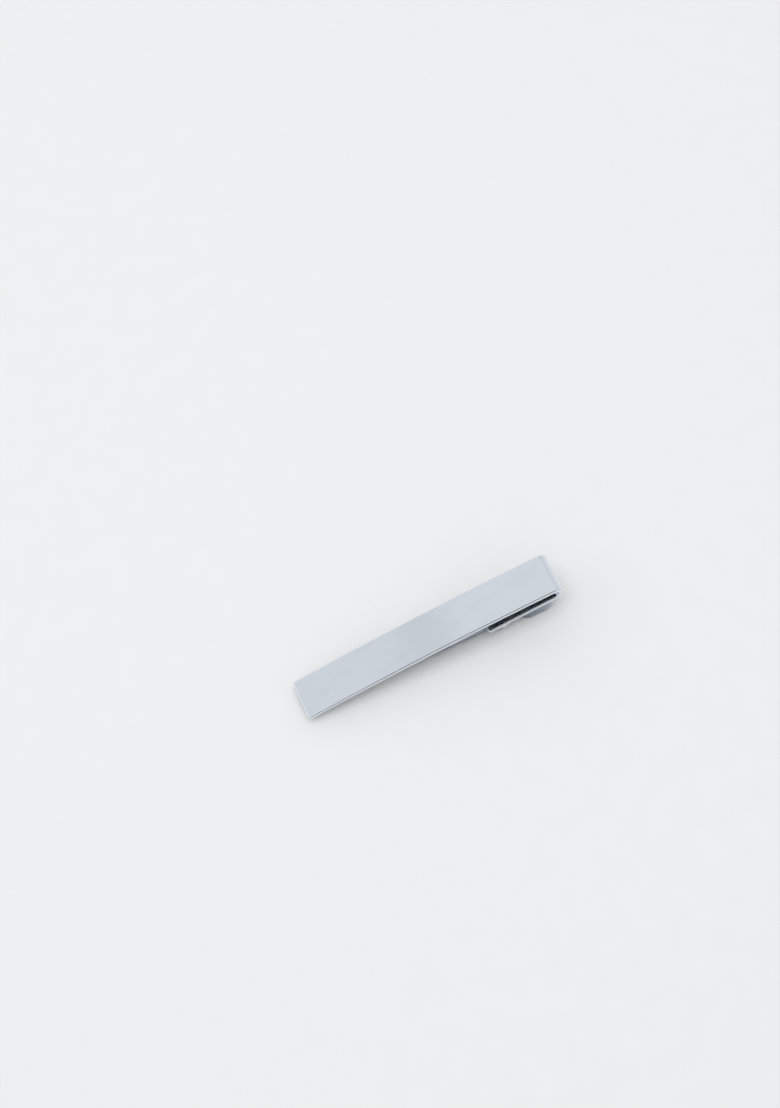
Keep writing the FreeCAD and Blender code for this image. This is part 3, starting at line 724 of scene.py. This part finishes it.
class Finish:
    """One material under construction."""

    def __init__(self, name):
        self.material = bpy.data.materials.new(name)
        self.material.use_nodes = True
        self.tree = self.material.node_tree
        self.tree.nodes.clear()

    def node(self, kind, settings=None, inputs=None, output=0):
        """Add a node: its settings first, then the values or links of its sockets."""
        made = self.tree.nodes.new(kind)
        for key, value in (settings or {}).items():
            setattr(made, key, value)
        for key, value in (inputs or {}).items():
            if isinstance(value, Quantity):
                self.tree.links.new(value.output, made.inputs[key])
            else:
                made.inputs[key].default_value = value
        return Quantity(self, made.outputs[output]) if len(made.outputs) else None

    def surface(self, stretch, turn=0.0):
        """The piece's own map, in millimetres along it and round it, scaled and turned."""
        here = self.node("ShaderNodeUVMap", {"uv_map": "surface"})
        place = {"Vector": here, "Scale": stretch, "Rotation": (0, 0, turn)}
        return self.node("ShaderNodeMapping", {}, place)

    def space(self, stretch=(1.0, 1.0, 1.0), centre=(0.0, 0.0, 0.0)):
        """Object coordinates in millimetres about a centre, scaled."""
        here = self.node("ShaderNodeTexCoord", {}, {}, "Object")
        scale = tuple(s / MM for s in stretch)
        place = tuple(-c * s for c, s in zip(centre, stretch))
        inputs = {"Vector": here, "Scale": scale, "Location": place}
        return self.node("ShaderNodeMapping", {}, inputs)

    def noise(self, where, size=1.0, detail=2.0, roughness=0.5):
        inputs = {"Vector": where, "Scale": 1.0 / size, "Detail": detail, "Roughness": roughness}
        return self.node("ShaderNodeTexNoise", {}, inputs)

    def mix_colours(self, share, first, second):
        return self.node("ShaderNodeMix", {"data_type": "RGBA"}, {0: share, 6: first, 7: second}, 2)

    def bump(self, height, distance_mm):
        inputs = {"Height": height, "Distance": distance_mm * MM, "Strength": 1.0}
        return self.node("ShaderNodeBump", {}, inputs)

    def shade(self, inputs):
        """End the tree in one shader, and hand the material over."""
        shader = self.node("ShaderNodeBsdfPrincipled", {}, inputs)
        self.node("ShaderNodeOutputMaterial", {}, {"Surface": shader})
        print(f"{self.material.name}: {len(self.tree.nodes)} nodes")
        return self.material

    def metal(self, colour, roughness, normal):
        inputs = {"Base Color": colour, "Roughness": roughness, "Normal": normal, "Metallic": 1.0}
        return self.shade(inputs)


# %% [markdown]
# ## Mirror plate
#
# The bar is polished and plated, so almost all of its look is what it reflects. What makes it metal
# and not a flat colour is small: hairlines left by the buffing wheel, which run along the bar,
# a few crossing scratches from handling that come in patches, and faint smudges where it was held.

# %% Mirror plate on the bar
def make_mirror_plate():
    """Roughness = polish + smudges + hairlines; bump = hairlines and scratches under a micron high."""
    plate = Finish("mirror_plate")
    hairlines = plate.noise(plate.surface((0.12, 9.0, 1.0)), detail=4.0, roughness=0.6)
    smudges = plate.noise(plate.surface((0.10, 0.22, 1.0)), detail=3.0, roughness=0.55).above(0.42, 0.75)
    worn = plate.noise(plate.surface((0.07, 0.12, 1.0)), detail=1.0).above(0.48, 0.66)
    lines = [plate.noise(plate.surface((0.35, 7.5, 1.0), turn), detail=1.0) for turn in (0.5, -0.35, 1.3)]
    scratches = sum(line.above(0.74, 0.80) for line in lines) * worn
    roughness = 0.085 + 0.05 * hairlines + 0.075 * smudges + 0.10 * scratches
    normal = plate.bump(0.5 * hairlines - scratches, 0.0007)
    colour = plate.mix_colours(smudges, (0.812, 0.858, 0.908, 1), (0.784, 0.83, 0.88, 1))
    return plate.metal(colour, roughness, normal)


polished_bar.data.materials.append(make_mirror_plate())

# %% [markdown]
# ## Tumbled and pressed steel
#
# The clasp is never polished by hand. Its pressings are tumbled in a barrel with small stones, which
# leaves a soft satin with tiny dents, then flashed with the same plating. The lever also keeps a
# faint grain along its length from the rolled strip that it was cut from.

# %% Satin finishes of the clasp
def make_tumbled_plate():
    """Fine dents from two scales of noise, and a roughness that wanders a little."""
    plate = Finish("tumbled_plate")
    dents = plate.noise(plate.space(), size=0.16, detail=3.0)
    patches = plate.noise(plate.space(), size=1.3, detail=2.0)
    roughness = 0.24 + 0.10 * patches + 0.06 * dents
    colour = plate.mix_colours(patches, (0.64, 0.66, 0.69, 1), (0.74, 0.755, 0.78, 1))
    return plate.metal(colour, roughness, plate.bump(dents, 0.004))


def make_rolled_steel():
    """Grain drawn out along the lever, tumbling dents, and patches where its tone and roughness wander."""
    steel = Finish("rolled_steel")
    grain = steel.noise(steel.space((0.16, 7.0, 7.0)), detail=4.0, roughness=0.62)
    dents = steel.noise(steel.space(), size=0.2, detail=2.0)
    patches = steel.noise(steel.space((0.5, 1.0, 1.0)), size=2.4, detail=3.0)
    roughness = 0.20 + 0.12 * grain + 0.10 * patches
    colour = steel.mix_colours(patches, (0.66, 0.68, 0.705, 1), (0.76, 0.775, 0.80, 1))
    return steel.metal(colour, roughness, steel.bump(0.7 * grain + 0.3 * dents, 0.004))


hinge_bracket.data.materials.append(make_tumbled_plate())
pinch_lever.data.materials.append(make_rolled_steel())

# %% [markdown]
# ## Turned rivet and drawn wire
#
# A turned head shows rings about its axis. A ring pattern is a sine of the distance from the axis,
# and that distance is the square root of a sum of squares, which reads the same way in the code.
# Drawn wire has the opposite mark: fine lines along its length, and a darker, springy grey.

# %% Finishes of the rivet and the spring
RING_TURNS = 70.0  # radians a millimetre, so a ring every 0.09 mm


def make_turned_steel():
    """Rings: sin(turns * distance from the hinge axis), and wear over them."""
    steel = Finish("turned_steel")
    place = steel.space(centre=(0.0, 0.0, AXLE_HEIGHT))
    parts = steel.node("ShaderNodeSeparateXYZ", {}, {0: place})
    x, z = parts.beside("X"), parts.beside("Z")
    rings = ((x * x + z * z) ** 0.5 * RING_TURNS).sine()
    wear = steel.noise(steel.space(), size=0.4, detail=3.0)
    roughness = 0.17 + 0.14 * wear
    colour = steel.mix_colours(wear, (0.68, 0.69, 0.71, 1), (0.78, 0.785, 0.80, 1))
    return steel.metal(colour, roughness, steel.bump(rings + wear, 0.0016))


def make_drawn_wire():
    """Lines along the wire from a noise that is long along it and short round it."""
    wire = Finish("drawn_wire")
    lines = wire.noise(wire.surface((0.5, 14.0, 1.0)), detail=3.0, roughness=0.6)
    stain = wire.noise(wire.surface((0.35, 0.8, 1.0)), detail=2.0)
    roughness = 0.22 + 0.14 * lines
    colour = wire.mix_colours(stain, (0.42, 0.43, 0.45, 1), (0.60, 0.61, 0.63, 1))
    return wire.metal(colour, roughness, wire.bump(lines, 0.003))


domed_rivet.data.materials.append(make_turned_steel())
coil_spring.data.materials.append(make_drawn_wire())

# %% [markdown]
# ## The camera
#
# The clip is seen nearly square on, from a little towards its near long edge, with the bar rising to
# the right. The camera is placed by three angles about the bar itself, so it stays right if the clip
# changes: how far it leans over the near edge, how far it looks round towards the fold, and how the
# picture is rolled. The offsets say how far right of and below the middle of the picture the bar is.

# %% Place the camera
CAMERA_DISTANCE, CAMERA_LENS = 340.0, 54.34
LEAN_OVER, LOOK_ROUND, ROLL = math.radians(20.96), math.radians(1.72), math.radians(27.37)
RIGHT_OF_MIDDLE, BELOW_MIDDLE = 7.34, 16.21


def make_camera():
    """Stand back along the line of sight, then aim past the bar by the two offsets."""
    along = Vector((math.cos(CLOSED_TILT), 0, math.sin(CLOSED_TILT)))
    facing = Vector((-math.sin(CLOSED_TILT), 0, math.cos(CLOSED_TILT)))
    near = Vector((0, -1, 0))
    back = (facing * math.cos(LEAN_OVER) + near * math.sin(LEAN_OVER)) * math.cos(LOOK_ROUND)
    back = (back + along * math.sin(LOOK_ROUND)).normalized()
    face = np.array([BOW_X, 0, BOW_CENTRE[1] + BOW_RADIUS])
    target = Vector(tilt_with_bar(face))
    seen_along = (along - back * along.dot(back)).normalized()
    right = seen_along * math.cos(ROLL) - back.cross(seen_along) * math.sin(ROLL)
    up = back.cross(right)
    eye = target + back * CAMERA_DISTANCE
    aim = target - right * RIGHT_OF_MIDDLE + up * BELOW_MIDDLE
    back = (eye - aim).normalized()
    right = (right - back * right.dot(back)).normalized()
    up = back.cross(right)
    data = bpy.data.cameras.new("camera")
    data.lens, data.sensor_width = CAMERA_LENS, 36.0
    data.clip_start, data.clip_end = 0.01, 20.0
    camera = bpy.data.objects.new("camera", data)
    bpy.context.collection.objects.link(camera)
    turn = Matrix((right, up, back)).transposed().to_4x4()
    camera.matrix_world = Matrix.Translation(eye * MM) @ turn
    bpy.context.scene.camera = camera
    print("camera stands", tuple(round(v) for v in eye), "mm from the origin")


make_camera()

# %% [markdown]
# ## Floor and light
#
# A mirror finish needs something to mirror. A bright, even surround makes the face a calm cool
# silver, and two large panels above it differ by a little, which gives the face its faint shading.
# The thin lines come from what the rounded edges see. A box behind the clip lights the far edge,
# one at each end lights the mouth and the fold, and a strip overhead lights the near edge. Felt
# flags make the dark lines beside them: a black one stands in front, and a low grey one runs round
# the clip with a gap on the fold's side. The flags are seen in the metal only. One more lamp is hidden
# from the metal, so it lights the pale, matt floor and leaves no mark in the mirror.

# %% Floor and surround
def make_mesh_object(name, corners, faces, material):
    """A piece of the studio, which is not part of the clip."""
    mesh = bpy.data.meshes.new(name)
    mesh.from_pydata(corners, [], faces)
    mesh.materials.append(material)
    thing = bpy.data.objects.new(name, mesh)
    bpy.context.collection.objects.link(thing)
    thing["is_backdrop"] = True
    return thing


def make_floor(half=3.0):
    """A square of matt paint, with a slow change of shade."""
    paint = Finish("pale_floor")
    grain = paint.noise(paint.space(), size=6.0, detail=2.0)
    shade = paint.mix_colours(grain, (0.79, 0.785, 0.775, 1), (0.81, 0.805, 0.795, 1))
    corners = [(-half, -half, 0), (half, -half, 0), (half, half, 0), (-half, half, 0)]
    matt = paint.shade({"Base Color": shade, "Roughness": 0.9})
    make_mesh_object("floor", corners, [(0, 1, 2, 3)], matt)


def make_surround(colour, strength):
    """An even glow from every side."""
    world = bpy.data.worlds.new("surround")
    world.use_nodes = True
    background = world.node_tree.nodes["Background"]
    background.inputs["Color"].default_value = (*colour, 1)
    background.inputs["Strength"].default_value = strength
    bpy.context.scene.world = world


bpy.context.scene.view_settings.view_transform = "Standard"
make_floor()
make_surround((0.945, 0.968, 1.0), 0.705)


# %% Soft boxes and flags
LIGHT_DISTANCE, FLAG_DISTANCE = 0.9, 1.5


def make_soft_box(name, direction, along, wide, tall, radiance):
    """A flat light that faces the clip, its wide side along a direction: power = radiance * pi * area."""
    light = bpy.data.lights.new(name, "AREA")
    light.shape = "RECTANGLE"
    light.size, light.size_y = wide, tall
    light.energy = radiance * math.pi * wide * tall
    lamp = bpy.data.objects.new(name, light)
    bpy.context.collection.objects.link(lamp)
    back = Vector(direction).normalized()
    right = Vector(along)
    right = (right - back * right.dot(back)).normalized()
    turn = Matrix((right, back.cross(right), back)).transposed().to_4x4()
    lamp.matrix_world = Matrix.Translation(back * LIGHT_DISTANCE) @ turn
    lamp.visible_camera = False
    print(name, "radiance", radiance)
    return lamp


def make_flag(name, azimuths, elevations, felt):
    """A dark patch of a sphere about the clip: distance * (sin az cos el, -cos az cos el, sin el)."""
    az, el = np.meshgrid(np.radians(azimuths), np.radians(elevations), indexing="ij")
    patch = np.stack([np.sin(az) * np.cos(el), -np.cos(az) * np.cos(el), np.sin(el)], axis=2)
    across, tall = az.shape
    first, up = np.meshgrid(np.arange(across - 1), np.arange(tall - 1), indexing="ij")
    start = (first * tall + up).ravel()
    faces = np.stack([start, start + tall, start + tall + 1, start + 1], axis=1)
    corners = (patch.reshape(-1, 3) * FLAG_DISTANCE).tolist()
    flag = make_mesh_object(name, corners, faces.tolist(), felt)
    flag.visible_camera = False
    flag.visible_diffuse = False
    flag.visible_shadow = False


X_AXIS, Y_AXIS = (1, 0, 0), (0, 1, 0)
make_soft_box("mouth_panel", (-0.68, 0.35, 0.9), X_AXIS, wide=0.8, tall=0.7, radiance=0.065)
make_soft_box("fold_panel", (0.30, 0.35, 0.9), X_AXIS, wide=0.8, tall=0.7, radiance=0.09)
make_soft_box("far_box", (0.0, 0.87, 0.45), X_AXIS, wide=1.1, tall=0.42, radiance=0.40)
make_soft_box("near_strip", (0.0, -0.10, 1.0), X_AXIS, wide=1.0, tall=0.24, radiance=0.35)
make_soft_box("fold_box", (0.90, 0.30, 0.25), Y_AXIS, wide=0.55, tall=0.30, radiance=0.10)
make_soft_box("mouth_box", (-0.85, 0.36, 0.50), Y_AXIS, wide=0.6, tall=0.35, radiance=0.95)
floor_light = make_soft_box("floor_light", (0.0, 0.0, 1.0), X_AXIS, wide=1.0, tall=0.6, radiance=1.6)
floor_light.visible_glossy = False

black_felt = Finish("black_felt").shade({"Base Color": (0.02, 0.02, 0.02, 1), "Roughness": 1.0})
grey_felt = Finish("grey_felt").shade({"Base Color": (0.13, 0.13, 0.13, 1), "Roughness": 1.0})
make_flag("front_flag", np.linspace(-30, 30, 13), np.linspace(0, 70, 15), black_felt)
make_flag("low_flag", np.linspace(130, 455, 66), np.linspace(1, 9, 4), grey_felt)

# %% [markdown]
# ## The two boxes
#
# The finished clip should fill the same box as the imported model, so both boxes are printed.

# %% Sizes and finish
clip_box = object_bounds()
for label, (low, high) in (("packed model", cad_box), ("finished clip", clip_box)):
    print(label, [round(v / MM, 2) for v in low], [round(v / MM, 2) for v in high])
